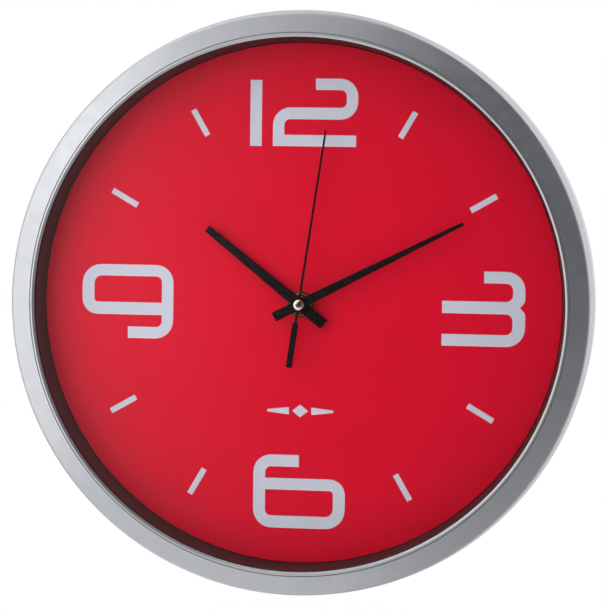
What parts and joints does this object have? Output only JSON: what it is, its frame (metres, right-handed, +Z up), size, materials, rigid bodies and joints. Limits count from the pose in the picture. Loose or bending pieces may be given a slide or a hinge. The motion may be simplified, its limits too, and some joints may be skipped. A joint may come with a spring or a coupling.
{
  "type": "wall clock",
  "caption": "Round quartz wall clock with silver bezel, glass, red dial with bold numerals, three black hands and a battery movement with its gear train.",
  "frame": {"origin": "top of the hanger's keyhole slot, where the wall hook bears, in the plane of the wall", "axes": "+Z up, +Y into the wall, the dial faces -Y, +X to the right as the clock is read"},
  "size_m": [0.3, 0.04, 0.3],
  "materials": {
    "silver_paint": "satin silver paint on moulded ABS",
    "clear_glass": "clear float glass, polished",
    "black_abs": "moulded, fine satin",
    "grey_abs": "moulded, spark-eroded satin",
    "red_print": "screen-printed semi-matt, with light grey numerals and marks",
    "black_enamel": "black stoving enamel on stamped aluminium",
    "brass": "turned",
    "nickel": "bright nickel plate",
    "steel": "zinc-plated",
    "rubber": "moulded",
    "acetal": "moulded, slightly waxy",
    "copper": "enamelled copper wire",
    "board": "green solder mask",
    "ferrite": "sintered",
    "battery_label": "plain printed shrink sleeve, no lettering"
  },
  "bodies": {
    "case": {"bezel": "silver_paint", "lens": "clear_glass", "case_shell": "black_abs", "dial": "red_print", "bezel_screw_1": "steel", "bezel_screw_2": "steel", "bezel_screw_3": "steel", "bezel_screw_4": "steel", "bezel_screw_5": "steel", "bezel_screw_6": "steel", "hanger_plate": "steel", "hanger_screw_1": "steel", "hanger_screw_2": "steel", "rubber_washer": "rubber", "brass_washer": "brass", "hex_nut": "brass", "threaded_bushing": "brass", "movement_housing": "grey_abs", "movement_lid": "grey_abs", "train_bridge": "acetal", "stator": "steel", "coil_core": "steel", "coil_bobbin": "black_abs", "coil_winding": "copper", "circuit_board": "board", "crystal_can": "nickel", "chip_cover": "black_abs", "contact_positive": "nickel", "contact_negative": "nickel"},
    "battery": {"battery_cell": "battery_label", "battery_terminal": "nickel"},
    "hour": {"hour_wheel": "acetal", "hour_hand": "black_enamel"},
    "minute": {"minute_arbor": "brass", "centre_wheel": "acetal", "minute_hand": "black_enamel"},
    "second": {"second_arbor": "steel", "second_wheel": "acetal", "second_hand": "black_enamel", "centre_cap": "nickel"},
    "third": {"third_wheel": "acetal"},
    "intermediate": {"intermediate_wheel": "acetal"},
    "rotor": {"rotor_pinion": "acetal", "rotor_magnet": "ferrite"},
    "minute_work": {"minute_work_wheel": "acetal"},
    "setting": {"setting_knob": "grey_abs", "setting_pinion": "acetal"}
  },
  "joints": [
    {"name": "minute_turn", "type": "hinge", "parent": "case", "child": "minute", "pos_m": [0, 0, -0.1148], "axis": [0, 1, 0], "continuous": true},
    {"name": "hour_turn", "type": "hinge", "parent": "case", "child": "hour", "pos_m": [0, 0, -0.1148], "axis": [0, 1, 0], "continuous": true},
    {"name": "second_turn", "type": "hinge", "parent": "case", "child": "second", "pos_m": [0, 0, -0.1148], "axis": [0, 1, 0], "continuous": true},
    {"name": "third_turn", "type": "hinge", "parent": "case", "child": "third", "pos_m": [0.01125, 0, -0.11241], "axis": [0, 1, 0], "continuous": true},
    {"name": "intermediate_turn", "type": "hinge", "parent": "case", "child": "intermediate", "pos_m": [-0.00806, 0, -0.10674], "axis": [0, 1, 0], "continuous": true},
    {"name": "rotor_turn", "type": "hinge", "parent": "case", "child": "rotor", "pos_m": [-0.01646, 0, -0.10674], "axis": [0, 1, 0], "continuous": true},
    {"name": "minute_work_turn", "type": "hinge", "parent": "case", "child": "minute_work", "pos_m": [0.00156, 0, -0.10594], "axis": [0, 1, 0], "continuous": true},
    {"name": "setting_turn", "type": "hinge", "parent": "case", "child": "setting", "pos_m": [0.00932, 0, -0.09943], "axis": [0, 1, 0], "continuous": true},
    {"name": "battery_slide", "type": "slide", "parent": "case", "child": "battery", "axis": [0, 1, 0], "range_m": [0, 0.018]}
  ],
  "couplings": [
    {"joint": "hour_turn", "follows": "minute_turn", "ratio": 0.083333},
    {"joint": "second_turn", "follows": "minute_turn", "ratio": 60},
    {"joint": "third_turn", "follows": "minute_turn", "ratio": -8},
    {"joint": "intermediate_turn", "follows": "minute_turn", "ratio": -300},
    {"joint": "rotor_turn", "follows": "minute_turn", "ratio": 1800},
    {"joint": "minute_work_turn", "follows": "minute_turn", "ratio": -0.33333},
    {"joint": "setting_turn", "follows": "minute_turn", "ratio": 0.66667}
  ]
}
